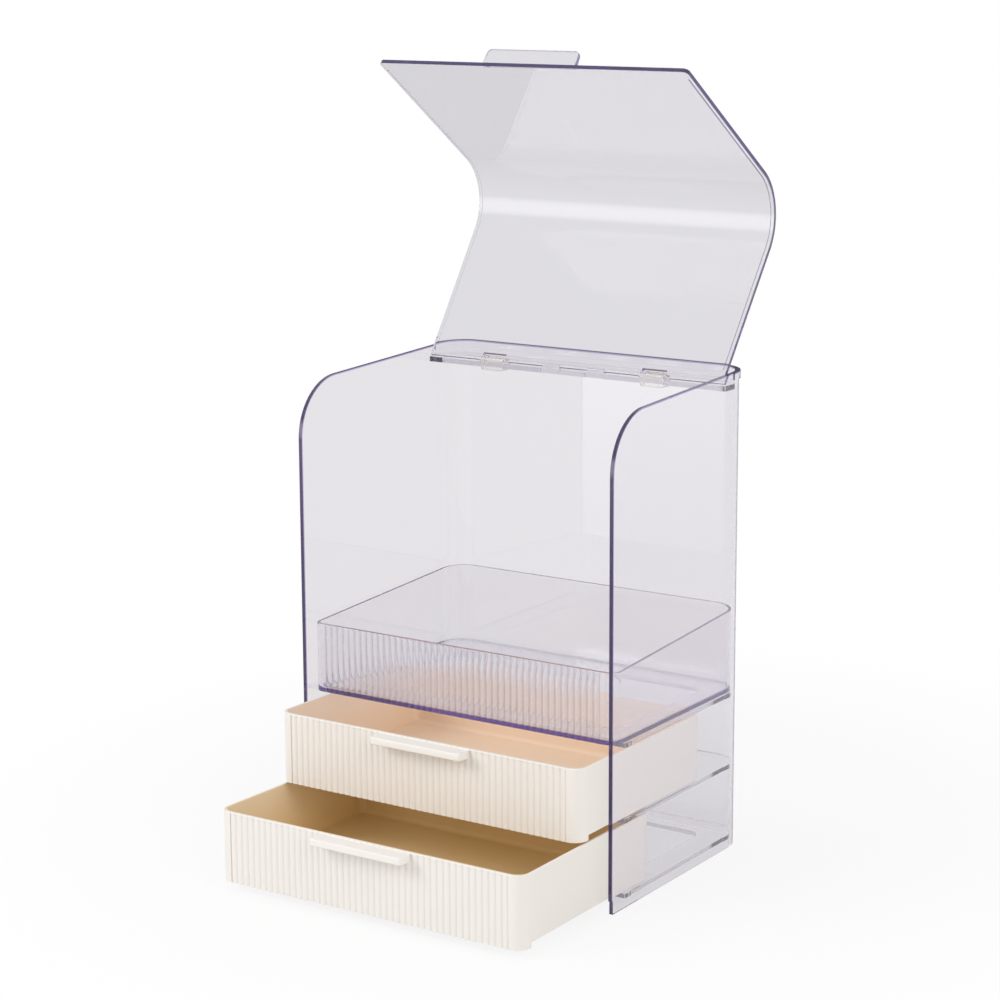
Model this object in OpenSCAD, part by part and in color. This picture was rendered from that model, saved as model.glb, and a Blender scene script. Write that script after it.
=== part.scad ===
// Countertop makeup organizer: a clear casing with a flip-up lid, an open tray and two drawers.
// Origin: middle of the back wall at the foot. +X is right, +Y the rear, +Z up. Millimetres.
// The pose drawn is the one at rest: lid open against its stop, both drawers pulled out.

/* [Casing] */
// Outer width of the casing at its front edges
casing_w = 275; // [250:1:310]
// Outer depth of the casing
casing_d = 197; // [180:1:230]
// Height of the casing at its rear rim
casing_h = 368; // [345:1:410]
// Thickness of the clear walls
wall_t = 3; // [2.4:0.1:4]
// Radius of the two upright rear corners
corner_r = 23; // [14:1:32]
// Narrowing of each side towards the rear, per millimetre of depth
side_taper = 0.016; // [0:0.002:0.03]
// Fall of the side rims towards the front, in degrees
rim_slope = 2.7; // [0:0.1:5]
// Radius of the rounded upper front of each side wall
shoulder_r = 44; // [25:1:60]
// Height of the set-back foot of each front edge
foot_h = 10; // [5:1:20]
// Depth of that set-back
foot_step = 1.5; // [0.5:0.1:3]
// Height of the thickened band round the rear rim
band_h = 5; // [3:0.5:9]
// Projection of that band
band_t = 1.2; // [0.6:0.1:2]
// How far the band runs forward along each side from the rear
band_run = 26; // [24:1:40]

/* [Shelves] */
// Gap between the table and the underside of the lowest shelf
shelf_lift = 6.5; // [5:0.5:12]
// Thickness of each shelf
shelf_t = 3.2; // [2.4:0.1:4.5]
// Clear height between two shelves
bay_h = 53; // [45:1:62]
// Distance of a shelf's front edge behind the casing's front edges
shelf_setback = 19.6; // [16:0.2:26]
// Width of a shelf's side rails
shelf_side = 20; // [12:1:35]
// Depth of a shelf's rear rail
shelf_rear = 27; // [18:1:40]
// Depth of a shelf's front rail
shelf_front = 22; // [14:1:35]
// Corner radius of the window in a shelf
window_r = 9; // [4:1:16]
// Clearance between a shelf's edge and the walls
shelf_fit = 0.15; // [0.05:0.05:0.4]
// Length of the tabs that hold a shelf in the walls
tab_l = 8; // [5:1:14]
// Reach of a tab into its pocket in the wall
tab_reach = 1.1; // [0.6:0.1:1.4]
// Clearance round a tab in its pocket
tab_fit = 0.1; // [0.05:0.05:0.2]

/* [Hinge] */
// Depth of the hinge rail, from the back wall to its front edge
rail_d = 33.7; // [26:0.5:42]
// Thickness of the hinge rail
rail_t = 4; // [3:0.5:6]
// Height of the rear rim above the rail's top
rail_drop = 9.5; // [8:0.5:14]
// Height of the hinge axis above the rail's top
axis_lift = 2.2; // [1.9:0.1:3]
// Distance of the hinge axis behind the rail's front edge
axis_back = 1.9; // [1:0.1:3]
// Distance of each hinge clip from the middle
clip_x = 72; // [55:1:90]
// Width of a hinge clip
clip_w = 20; // [14:1:26]
// How far a clip stands out in front of the rail
clip_front = 2; // [1.6:0.1:3]
// How far a clip grips back over the rail
clip_grip = 10; // [7:1:14]
// Depth of the notch in the rail that a clip fills
clip_notch = 6; // [5.5:0.5:8]
// Thickness of a clip under the rail
clip_under = 2.1; // [1.5:0.1:3]
// Thickness of a clip's lip over the rail
clip_over = 1.4; // [1:0.1:1.8]
// Corner radius of a clip seen from the front
clip_r = 2.4; // [1:0.2:3]
// Radius of a clip's barrel round the pin
barrel_r = 2.9; // [2.6:0.1:3.2]
// Running clearance between the lid's pins and the clips
pin_fit = 0.06; // [0.03:0.01:0.1]
// Width of the mouth through which a clip snaps over its pin
clip_mouth = 2.2; // [1.6:0.1:2.3]
// Clearance between a clip and its notch in the lid
clip_gap = 0.7; // [0.4:0.1:1.5]
// Width of the collars beside each clip
collar_w = 2.4; // [1.5:0.1:5]
// Radius of the collars
collar_r = 2; // [1.8:0.05:2.1]
// Distance of each stop pad from the middle
stop_x = 20; // [14:1:32]
// Width of a stop pad
stop_w = 16; // [8:1:20]
// Depth of a stop pad's recess in the rail's front
stop_recess = 0.6; // [0.3:0.1:1]

/* [Lid] */
// Thickness of the lid's sheet
lid_t = 3; // [2.4:0.1:3.4]
// Radius of the lid's bend, at the middle of the sheet
bend_r = 41.7; // [25:0.5:50]
// Opening angle of the lid as it stands
lid_open = 124.9; // [95:0.1:140]
// Clearance between the lid's side edges and the casing's walls
lid_side_gap = 0.6; // [0.4:0.1:2]
// Height of the lid's free edge above the tray's front rim, with the lid level
lid_gap = 4; // [2.5:0.5:12]
// Corner radius at the lid's free edge
lid_corner_r = 4; // [1:0.5:10]
// Length of the heel behind the axis that rests on the rail
heel_l = 3; // [2.4:0.1:3.6]
// Gap left between the resting heel and the rail
heel_gap = 0.05; // [0.02:0.01:0.1]
// Distance of the stiffening bead from the lid's side edge
bead_in = 2.5; // [1.5:0.5:6]
// Width of the bead
bead_w = 1; // [0.6:0.1:2]
// Height of the bead above the sheet
bead_h = 0.6; // [0.3:0.1:1]
// Distance of the bead's ends from the sheet's ends
bead_end = 10; // [6:1:20]
// Width of the lid's handle
lid_handle_w = 80; // [50:1:140]
// Reach of the lid's handle
lid_handle_reach = 12; // [8:0.5:20]
// Thickness of the lid's handle
lid_handle_t = 3.5; // [2.5:0.5:6]
// Corner radius of the lid's handle
lid_handle_r = 4; // [1:0.5:6]
// Depth of the groove in the sheet that the handle's tongue fills
tongue_d = 1; // [0.5:0.1:1.5]
// Thickness of that tongue
tongue_t = 1.5; // [1:0.1:2]

/* [Fronts] */
// Distance of the tray's and the closed drawers' fronts behind the casing's front edges
front_setback = 7.5; // [5:0.5:12]
// Thickness of the fluted front walls
front_t = 2.8; // [2.2:0.1:4]
// Spacing of the flutes
flute_pitch = 5.42; // [3.5:0.01:9]
// Depth of the grooves between flutes
flute_d = 0.8; // [0.4:0.1:1.2]
// Plain width beside the flutes, from the side wall
flute_margin = 11; // [11:0.5:30]
// Height of the plain rim above the flutes
flute_rim = 1.2; // [0.8:0.1:5]

/* [Tray] */
// Height of the tray's front
tray_h = 53.1; // [35:0.5:80]
// Rise of the tray's side rims from front to rear
tray_rise = 11.5; // [0:0.5:25]
// Thickness of the tray's sides and back
tray_wall = 2.2; // [1.6:0.1:3]
// Thickness of the tray's floor
tray_floor = 2.6; // [1.8:0.1:4]
// Side clearance between the tray and the casing
tray_side_gap = 1; // [0.5:0.1:2.5]
// Gap between the tray's back and the back wall
tray_rear_gap = 3.5; // [1:0.5:20]
// Gap between the tray's floor and the shelf
tray_lift = 0.3; // [0.2:0.1:0.8]
// Radius of the tray's front corners
tray_front_r = 8; // [3:0.5:12]

/* [Drawers] */
// How far the upper drawer stands open
upper_pull = 43.5; // [0:0.1:120]
// How far the lower drawer stands open
lower_pull = 116; // [0:0.1:120]
// Side clearance between a drawer and the casing
drawer_side_gap = 1.2; // [0.6:0.1:3]
// Gap between a closed drawer and the back wall
drawer_rear_gap = 16.5; // [10:0.5:30]
// Gap between a drawer's body and the shelf it runs on
drawer_lift = 0.3; // [0.2:0.1:0.8]
// Gap between a drawer's rim and the shelf above
drawer_top_gap = 2.7; // [1.5:0.1:6]
// Gap between a drawer's front and the front below it
front_gap = 2.2; // [1.2:0.1:3]
// Thickness of a drawer's sides and back
drawer_wall = 2; // [1.5:0.1:3]
// Thickness of a drawer's floor
drawer_floor = 2; // [1.5:0.1:3]
// Radius of a drawer's front corners
drawer_front_r = 11; // [3:0.5:11]
// Radius of a drawer's rear corners
drawer_rear_r = 8; // [4:0.5:20]
// Radius of a drawer's rounded rear bottom edge
drawer_heel_r = 6; // [3:0.5:8]
// Gap between the skirt of a closed front and the shelf's edge
skirt_gap = 0.1; // [0.05:0.05:0.5]
// Width of a drawer's bar handle
bar_w = 79.5; // [50:0.5:140]
// Reach of the bar handle
bar_reach = 12; // [8:0.5:20]
// Height of the bar handle
bar_h = 5.6; // [4:0.2:10]
// Distance of the bar's top below the drawer's rim
bar_drop = 1; // [0.5:0.1:8]
// Rounding of the bar's outer corners
bar_r = 2; // [0.5:0.5:4]
// Distance between the pegs behind a bar
peg_span = 56; // [30:1:70]
// Radius of those pegs
peg_r = 1.4; // [1:0.1:1.8]
// Length of the pegs in the front wall
peg_l = 1.6; // [0.8:0.1:2]

/* [Hidden] */
$fn = 64;
big = 1000;
eps = 0.01;

front_y = wall_t / 2 - casing_d;   // front edges of the side walls
rear_y = wall_t / 2;               // outer face of the back wall
inner_y = -wall_t / 2;             // inner face of the back wall
face_y = front_y + front_setback;  // outer face of the tray's front and of closed drawers

pitch_z = shelf_t + bay_h;
shelf_z = [for (i = [0:2]) shelf_lift + i * pitch_z];   // undersides of the shelves
deck_z = [for (z = shelf_z) z + shelf_t];               // tops of the shelves

rail_z = casing_h - rail_drop;            // top of the hinge rail
rail_y = inner_y - rail_d;                // front edge of the hinge rail
axis_y = rail_y + axis_back;
axis_z = rail_z + axis_lift;
pin_r = lid_t / 2;                        // the lid's rounded rear edge is its own pin

tray_z = deck_z[2] + tray_lift;
tray_rim = tray_z + tray_h;
drawer_h = bay_h - drawer_lift - drawer_top_gap;
skirt_drop = drawer_lift + shelf_t + drawer_top_gap - front_gap;
skirt_d = shelf_setback - front_setback - skirt_gap;
drawer_l = casing_d - wall_t - front_setback - drawer_rear_gap;

clip_room = max(axis_back + clip_front, barrel_r) + clip_gap;
lid_y = face_y + lid_t / 2;               // middle of the closed lid's upright sheet
lid_edge = tray_rim + lid_gap;            // free edge of the level lid

// Half width of the casing's outside at a given depth
function half_at(y) = casing_w / 2 - side_taper * (y - front_y);

// Half width at a given depth, a distance inside the casing's inner faces
function room_at(y, gap) = half_at(y) - wall_t - gap;

// Plan outline with straight front and rear and tapering sides. half is the half width at y0.
module plan(half, y0, y1, r0, r1) {
    a = atan(side_taper);
    n = [cos(a), sin(a)];
    c0 = [half - r0 * (1 + sin(a)) / cos(a), y0 + r0];
    c1 = [half - (r1 + (y1 - r1 - y0) * sin(a)) / cos(a), y1 - r1];
    right = [[c0.x, y0], c0 + r0 * n, c1 + r1 * n, [c1.x, y1]];
    left = [for (i = [3:-1:0]) [-right[i].x, right[i].y]];
    polygon(concat(right, left));
    for (s = [-1, 1]) {
        translate([s * c0.x, c0.y]) circle(r0);
        translate([s * c1.x, c1.y]) circle(r1);
    }
}

// Plan outline a distance inside the casing's inner faces, from y0 back to y1
module inner_plan(gap, y0, y1, r0, r1) plan(room_at(y0, gap), y0, y1, r0, r1);

// Rear corner radius of an outline a distance inside the casing's inner faces
function inner_r(gap) = corner_r - wall_t - gap;

// Extrudes an outline in depth and height across the object's width
module across(w) translate([-w / 2, 0, 0]) rotate([90, 0, 90]) linear_extrude(w) children();

module clear() color([0.86, 0.85, 0.91, 0.45]) children();
module cream() color([0.95, 0.93, 0.88]) children();

// Side outline of the casing: sloping rim, rounded upper front, set-back foot
module casing_side() {
    c_y = front_y + shoulder_r;
    rim_at_c = casing_h - (rear_y - c_y) * tan(rim_slope);
    c = [c_y, rim_at_c - shoulder_r / cos(rim_slope)];
    touch = c + shoulder_r * [-sin(rim_slope), cos(rim_slope)];
    back = rear_y + 2 * band_t;
    top = casing_h + 2 * band_t * tan(rim_slope);
    polygon([
        [front_y + foot_step, 0], [back, 0], [back, top], touch, c,
        [front_y, c.y], [front_y, foot_h], [front_y + foot_step, foot_h]
    ]);
    translate(c) circle(shoulder_r);
}

// One pocket on each side and at every tab of a shelf
module tab_plan(reach, grow) {
    for (y = [front_y + shelf_setback, inner_y - inner_r(0) - tab_l])
        intersection() {
            inner_plan(-reach, front_y, inner_y + reach, eps, inner_r(-reach));
            translate([-big / 2, y - grow]) square([big, tab_l + 2 * grow]);
        }
}

module casing_shell() clear() difference() {
    intersection() {
        union() {
            linear_extrude(2 * casing_h)
                plan(half_at(front_y), front_y, rear_y, eps, corner_r);
            translate([0, 0, casing_h - band_h - band_run * tan(rim_slope)])
                linear_extrude(casing_h) intersection() {
                    plan(half_at(front_y) + band_t, front_y, rear_y + band_t, eps, corner_r + band_t);
                    translate([-big / 2, rear_y - band_run]) square([big, 2 * band_run]);
                }
        }
        across(big) casing_side();
    }
    translate([0, 0, -eps]) linear_extrude(2 * casing_h)
        inner_plan(0, front_y - wall_t, inner_y, eps, inner_r(0));
    for (z = shelf_z) translate([0, 0, z]) linear_extrude(shelf_t + tab_fit)
        tab_plan(tab_reach + tab_fit, tab_fit);
    translate([0, 0, rail_z - rail_t]) linear_extrude(rail_t + tab_fit)
        rail_plan(tab_reach + tab_fit, tab_fit);
}

// Open frame that a drawer or the tray stands on, held by four tabs in the side walls
module shelf(z) clear() translate([0, 0, z]) linear_extrude(shelf_t) {
    y0 = front_y + shelf_setback;
    difference() {
        inner_plan(shelf_fit, y0, inner_y - shelf_fit, eps, inner_r(shelf_fit));
        inner_plan(shelf_fit + shelf_side, y0 + shelf_front, inner_y - shelf_rear, window_r, window_r);
    }
    difference() {
        tab_plan(tab_reach, 0);
        inner_plan(2 * shelf_fit, front_y - wall_t, inner_y, eps, inner_r(0));
    }
}

module base_shelf() shelf(shelf_z[0]);
module middle_shelf() shelf(shelf_z[1]);
module top_shelf() shelf(shelf_z[2]);

// Plan of the hinge rail, reaching into the walls at both ends
module rail_plan(reach, grow) intersection() {
    inner_plan(-reach, front_y, inner_y, eps, inner_r(-reach));
    translate([-big / 2, rail_y - grow]) square([big, rail_d - corner_r + wall_t + 2 * grow]);
}

module hinge_rail() clear() difference() {
    translate([0, 0, rail_z - rail_t]) linear_extrude(rail_t) {
        rail_plan(tab_reach, 0);
        inner_plan(shelf_fit, rail_y, inner_y - shelf_fit, eps, inner_r(shelf_fit));
    }
    for (s = [-1, 1]) {
        translate([s * clip_x - clip_w / 2, rail_y - 1, rail_z - rail_t - 1])
            cube([clip_w, clip_notch + 1, rail_t + 2]);
        translate([s * stop_x - stop_w / 2, rail_y - 1, rail_z - rail_t - 1])
            cube([stop_w, 1 + stop_recess, rail_t + 2]);
    }
}

// Clip that fills a notch in the rail, grips over and under it and snaps over the lid's pin
module hinge_clip(x) clear() translate([x, 0, 0]) difference() {
    low = rail_z - rail_t - clip_under;
    intersection() {
        across(clip_w) {
            translate([rail_y - clip_front, low]) square([clip_front + clip_notch, axis_z - low]);
            translate([rail_y - clip_front, low]) square([clip_front + clip_grip, clip_under]);
            translate([rail_y + clip_notch - eps, rail_z])
                square([clip_grip - clip_notch + eps, clip_over]);
            translate([axis_y, axis_z]) circle(barrel_r);
        }
        translate([0, rail_y + big / 2, 0]) rotate([90, 0, 0]) linear_extrude(big)
            clip_front_view(low);
    }
    translate([0, axis_y, axis_z]) rotate([0, 90, 0])
        cylinder(r = pin_r + pin_fit, h = clip_w + 2, center = true);
    translate([0, axis_y, axis_z]) across(clip_w + 2) rotate(135)
        translate([0, -clip_mouth / 2]) square([2 * barrel_r, clip_mouth]);
}

// Front view of a clip, with its lower corners rounded
module clip_front_view(low) {
    translate([-clip_w / 2, low + clip_r]) square([clip_w, 4 * barrel_r + rail_t + clip_under]);
    translate([-clip_w / 2 + clip_r, low]) square([clip_w - 2 * clip_r, 2 * clip_r]);
    for (s = [-1, 1]) translate([s * (clip_w / 2 - clip_r), low + clip_r]) circle(clip_r);
}

module hinge_clip_left() hinge_clip(-clip_x);
module hinge_clip_right() hinge_clip(clip_x);

// Moves what is drawn with the lid level to where the open lid stands
module opened() translate([0, axis_y, axis_z]) rotate([-lid_open, 0, 0])
    translate([0, -axis_y, -axis_z]) children();

// Side outline of the level lid's sheet, between two distances from the middle of the sheet
module lid_side(inner, outer, end, edge) {
    c = [lid_y + bend_r, axis_z - bend_r];
    translate([c.x, c.y + bend_r - inner]) square([axis_y - c.x - end, inner + outer]);
    translate([lid_y - outer, edge]) square([inner + outer, c.y - edge]);
    intersection() {
        translate(c) difference() {
            circle(bend_r + outer);
            circle(bend_r - inner);
        }
        translate([c.x - 2 * bend_r, c.y]) square(2 * bend_r);
    }
}

// Plan of the lid, a distance inside its side edges
module lid_plan(inset) {
    y0 = lid_y - lid_t;
    y1 = axis_y + lid_t;
    a = room_at(y0, lid_side_gap) - inset;
    b = room_at(y1, lid_side_gap) - inset;
    polygon([[-a, y0], [a, y0], [b, y1], [-b, y1]]);
}

// Heel outline: rests on the rail when the lid stands open
module heel_side() rotate(lid_open) polygon([
    [0, heel_gap - axis_lift], [heel_l, heel_gap - axis_lift], [heel_l - 1, 0], [0, 0]
]);

module lid_panel() clear() opened() {
    difference() {
        union() {
            intersection() {
                across(big) {
                    lid_side(lid_t / 2, lid_t / 2, 0, lid_edge);
                    translate([axis_y, axis_z]) circle(lid_t / 2);
                }
                linear_extrude(big) lid_plan(0);
            }
            lid_beads();
            for (s = [-1, 1]) {
                translate([s * clip_x, axis_y, axis_z]) across(clip_w + 2 * (clip_gap + collar_w))
                    circle(collar_r);
                translate([s * stop_x, axis_y, axis_z]) across(stop_w) heel_side();
            }
        }
        for (s = [-1, 1]) {
            translate([s * clip_x, axis_y, axis_z]) across(clip_w + 2 * clip_gap)
                square(2 * clip_room, center = true);
            lid_corner(s);
        }
        translate([0, lid_y - lid_t / 2 - 1, lid_edge + lid_handle_t / 2 - tongue_t / 2])
            translate([lid_handle_r - lid_handle_w / 2, 0, 0])
                cube([lid_handle_w - 2 * lid_handle_r, 1 + tongue_d, tongue_t]);
    }
    for (s = [-1, 1])
        translate([s * clip_x, axis_y, axis_z]) rotate([0, 90, 0])
            cylinder(r = pin_r, h = clip_w + 2 * (clip_gap + collar_w) - 1, center = true);
}

// Stiffening bead on the inside of the lid, along each side edge
module lid_beads() intersection() {
    across(big) lid_side(lid_t / 2 + bead_h, eps - lid_t / 2, bead_end, lid_edge + bead_end);
    linear_extrude(big) difference() {
        lid_plan(bead_in);
        lid_plan(bead_in + bead_w);
    }
}

// Cuts the corner of the lid's free edge round
module lid_corner(s) {
    half = room_at(lid_y, lid_side_gap);
    translate([0, lid_y + lid_t, 0]) rotate([90, 0, 0]) linear_extrude(2 * lid_t) difference() {
        translate([s * half - lid_corner_r, lid_edge - lid_corner_r]) square(2 * lid_corner_r);
        translate([s * (half - lid_corner_r), lid_edge + lid_corner_r]) circle(lid_corner_r);
    }
}

// Flange along the lid's free edge, bonded into a groove in the sheet
module lid_handle() clear() opened() translate([0, lid_y - lid_t / 2, lid_edge]) {
    linear_extrude(lid_handle_t) flange(lid_handle_w, lid_handle_reach, lid_handle_r);
    translate([-lid_handle_w / 2 + lid_handle_r, -eps, (lid_handle_t - tongue_t) / 2])
        cube([lid_handle_w - 2 * lid_handle_r, tongue_d + eps, tongue_t]);
}

// Plan of a flange that reaches forward from y = 0, with round outer corners
module flange(w, reach, r) {
    translate([-w / 2, r - reach]) square([w, reach - r]);
    translate([-w / 2 + r, -reach]) square([w - 2 * r, 2 * r]);
    for (s = [-1, 1]) translate([s * (w / 2 - r), r - reach]) circle(r);
}

// Grooves between convex flutes across a front of a given half width
module flute_cut(half) {
    n = floor((2 * (half - flute_margin)) / flute_pitch);
    chord = 0.92 * flute_pitch / 2;
    r = (chord * chord + flute_d * flute_d) / (2 * flute_d);
    difference() {
        translate([-n * flute_pitch / 2, face_y - 1]) square([n * flute_pitch, 1 + flute_d]);
        for (i = [0:n - 1])
            translate([(i + 0.5 - n / 2) * flute_pitch, face_y + r]) intersection() {
                circle(r);
                translate([-flute_pitch, -r - eps]) square([2 * flute_pitch, flute_d + 1]);
            }
    }
}

// Side outline of the tray, with its rim rising to the rear
module tray_side() polygon([
    [face_y - 1, tray_z - 1], [inner_y, tray_z - 1], [inner_y, tray_rim + tray_rise],
    [face_y + front_t, tray_rim], [face_y - 1, tray_rim]
]);

module top_tray() clear() intersection() {
    end = inner_y - tray_rear_gap;
    across(big) tray_side();
    difference() {
        translate([0, 0, tray_z]) linear_extrude(tray_h + tray_rise)
            inner_plan(tray_side_gap, face_y, end, tray_front_r, inner_r(tray_side_gap));
        translate([0, 0, tray_z + tray_floor]) linear_extrude(tray_h + tray_rise)
            inner_plan(tray_side_gap + tray_wall, face_y + front_t, end - tray_wall,
                tray_front_r - tray_wall, inner_r(tray_side_gap + tray_wall));
        translate([0, 0, tray_z - 1]) linear_extrude(tray_h + 1 - flute_rim)
            flute_cut(room_at(face_y, tray_side_gap));
    }
}

// Outline of a closed drawer in plan, a distance inside its outer faces
module drawer_plan(inset, front) inner_plan(drawer_side_gap + inset, face_y + front,
    face_y + drawer_l - inset, drawer_front_r - inset, drawer_rear_r - inset);

// Side outline of a drawer's body, with the rounded rear bottom edge
module drawer_side(z, inset) {
    r = drawer_heel_r - inset;
    end = face_y + drawer_l - inset;
    translate([face_y - 1, z + inset]) square([end - r - face_y + 1, drawer_h + 1]);
    translate([end - 2 * r, z + inset + r]) square([2 * r, drawer_h + 1]);
    translate([end - r, z + inset + r]) circle(r);
}

// Drawer with a fluted front and a skirt that hides the shelf's edge
module drawer(z, pull) cream() translate([0, -pull, 0]) difference() {
    union() {
        intersection() {
            translate([0, 0, z]) linear_extrude(drawer_h) drawer_plan(0, 0);
            across(big) drawer_side(z, 0);
        }
        translate([0, 0, z - skirt_drop]) linear_extrude(skirt_drop + drawer_floor) difference() {
            drawer_plan(0, 0);
            drawer_plan(drawer_wall, front_t);
            translate([-big / 2, face_y + skirt_d]) square([big, drawer_l]);
        }
    }
    intersection() {
        translate([0, 0, z + drawer_floor]) linear_extrude(drawer_h) drawer_plan(drawer_wall, front_t);
        across(big) drawer_side(z, drawer_wall);
    }
    translate([0, 0, z - skirt_drop - 1]) linear_extrude(drawer_h + skirt_drop + 1 - flute_rim)
        flute_cut(room_at(face_y, drawer_side_gap));
    for (s = [-1, 1]) peg(s, bar_z(z), 1);
}

// Height of the middle of a bar handle
function bar_z(z) = z + drawer_h - bar_drop - bar_h / 2;

// Peg of a bar handle in the front wall, which starts a little ahead of the face
module peg(s, z, ahead) translate([s * peg_span / 2, face_y - ahead, z]) rotate([-90, 0, 0])
    cylinder(r = peg_r, h = peg_l + ahead);

// Bar along the rim of a drawer's front, set on two pegs
module bar_handle(z, pull) cream() translate([0, -pull, 0]) {
    difference() {
        translate([0, face_y, bar_z(z) - bar_h / 2]) linear_extrude(bar_h) flange(bar_w, bar_reach, bar_r);
        for (s = [-1, 1]) bar_edge(s, bar_z(z));
    }
    for (s = [-1, 1]) peg(s, bar_z(z), eps);
}

// Rounds an upper or lower outer edge of a bar handle
module bar_edge(s, z) {
    r = 1;
    across(bar_w + 2) difference() {
        translate([face_y - bar_reach - r, z + s * bar_h / 2 - r]) square(2 * r);
        translate([face_y - bar_reach + r, z + s * (bar_h / 2 - r)]) circle(r);
    }
}

module upper_drawer() drawer(deck_z[1] + drawer_lift, upper_pull);
module upper_drawer_handle() bar_handle(deck_z[1] + drawer_lift, upper_pull);
module lower_drawer() drawer(deck_z[0] + drawer_lift, lower_pull);
module lower_drawer_handle() bar_handle(deck_z[0] + drawer_lift, lower_pull);

casing_shell();
base_shelf();
middle_shelf();
top_shelf();
hinge_rail();
hinge_clip_left();
hinge_clip_right();
lid_panel();
lid_handle();
top_tray();
upper_drawer();
upper_drawer_handle();
lower_drawer();
lower_drawer_handle();
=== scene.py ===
from math import asin, atan, cos, degrees, pi, radians, sin, tan

import bmesh
import bpy
from mathutils import Matrix, Vector


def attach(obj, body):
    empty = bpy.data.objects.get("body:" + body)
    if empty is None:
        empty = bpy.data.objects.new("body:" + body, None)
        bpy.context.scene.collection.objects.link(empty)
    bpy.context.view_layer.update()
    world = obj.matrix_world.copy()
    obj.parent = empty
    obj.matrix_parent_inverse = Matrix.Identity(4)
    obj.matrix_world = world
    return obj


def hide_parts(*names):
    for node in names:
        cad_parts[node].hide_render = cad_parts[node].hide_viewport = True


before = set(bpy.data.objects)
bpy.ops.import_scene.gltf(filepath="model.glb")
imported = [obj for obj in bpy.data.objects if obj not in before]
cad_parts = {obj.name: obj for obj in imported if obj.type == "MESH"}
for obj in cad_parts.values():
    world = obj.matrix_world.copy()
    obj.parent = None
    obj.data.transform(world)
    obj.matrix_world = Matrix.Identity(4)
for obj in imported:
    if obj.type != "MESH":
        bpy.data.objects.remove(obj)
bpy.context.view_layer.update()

print("frame loaded:", len(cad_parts), "nodes")

# Lengths below are in millimetres. finishPiece turns each mesh to metres.


class Value:
    # a node's output that can be used in sums
    def __init__(self, look, socket):
        self.look = look
        self.socket = socket

    def sum(self, operation, a, b):
        return self.look.node("Math", {"operation": operation}, {0: a, 1: b})

    def __add__(self, other):
        return self.sum("ADD", self, other)

    def __sub__(self, other):
        return self.sum("SUBTRACT", self, other)

    def __rsub__(self, other):
        return self.sum("SUBTRACT", other, self)

    def __mul__(self, other):
        return self.sum("MULTIPLY", self, other)

    def atLeast(self, other):
        return self.sum("MAXIMUM", self, other)

    def size(self):
        return self.look.node("Math", {"operation": "ABSOLUTE"}, {0: self})


class Look:
    # a material or world with short ways to add nodes
    def __init__(self, owner):
        owner.use_nodes = True
        self.owner = owner
        self.tree = owner.node_tree
        self.tree.nodes.clear()

    def node(self, kind, settings=None, inputs=None, out=0):
        made = self.tree.nodes.new("ShaderNode" + kind)
        for key, value in (settings or {}).items():
            setattr(made, key, value)
        for key, value in (inputs or {}).items():
            if isinstance(value, Value):
                self.tree.links.new(value.socket, made.inputs[key])
            else:
                made.inputs[key].default_value = value
        return Value(self, made.outputs[out]) if made.outputs else None


def mixColour(look, amount, a, b):
    return look.node("Mix", {"data_type": "RGBA"}, {0: amount, 6: a, 7: b}, out=2)


def noise(look, place, scale, detail=2, rough=0.5):
    return look.node("TexNoise", {}, {"Vector": place, "Scale": scale, "Detail": detail, "Roughness": rough})


def smoothStep(look, value, low, high):
    return look.node("MapRange", {"interpolation_type": "SMOOTHSTEP"}, {0: value, 1: low, 2: high})


def split(look, place):
    first = look.node("SeparateXYZ", {}, {0: place})
    return [Value(look, first.socket.node.outputs[i]) for i in range(3)]


def grooveMask(look, x, y, count, frontAt):
    # 1 in the grooves between the ribs of a fluted front, places in metres
    pitch = flutes["pitch"] / 1000
    phase = look.node("Math", {"operation": "FRACT"}, {0: x * (1 / pitch) + (0.0 if count % 2 else 0.5)})
    off = (phase - 0.5).size()
    side = x.size()
    within = 1 - smoothStep(look, side, count * pitch / 2, count * pitch / 2 + 0.0004)
    front = 1 - smoothStep(look, y, frontAt + 0.0008, frontAt + 0.0011)
    return (1 - smoothStep(look, off, 0.03, 0.26)) * within * front


def edgeMask(look, y, z):
    # 1 on the casing's front edge, shoulder and rim, where a darker violet is painted in as shade, places in metres
    slope, radius = radians(casing["rimSlope"]), casing["shoulder"] / 1000
    front = (radius - (y - frontY / 1000)).atLeast(0.0)
    fall = (y - rearY / 1000) * tan(slope) - z + casing["height"] / 1000
    top = (radius - fall * cos(slope)).atLeast(0.0)
    squared = front * front + top * top - front * top * (2 * sin(slope))
    out = look.node("Math", {"operation": "SQRT"}, {0: squared})
    return smoothStep(look, out, radius - 0.0013, radius - 0.0007)


clear = {
    "deep": (0.72, 0.64, 0.84), "density": 30.0, "fade": 0.985, "rough": 0.012, "smear": 0.02, "haze": 0.01,
    "ripple": 0.02, "paintedEdgeShade": (0.43, 0.345, 0.64, 1), "grooveShade": (0.50, 0.48, 0.54, 1), "grooveAmount": 0.65,
}


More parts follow.
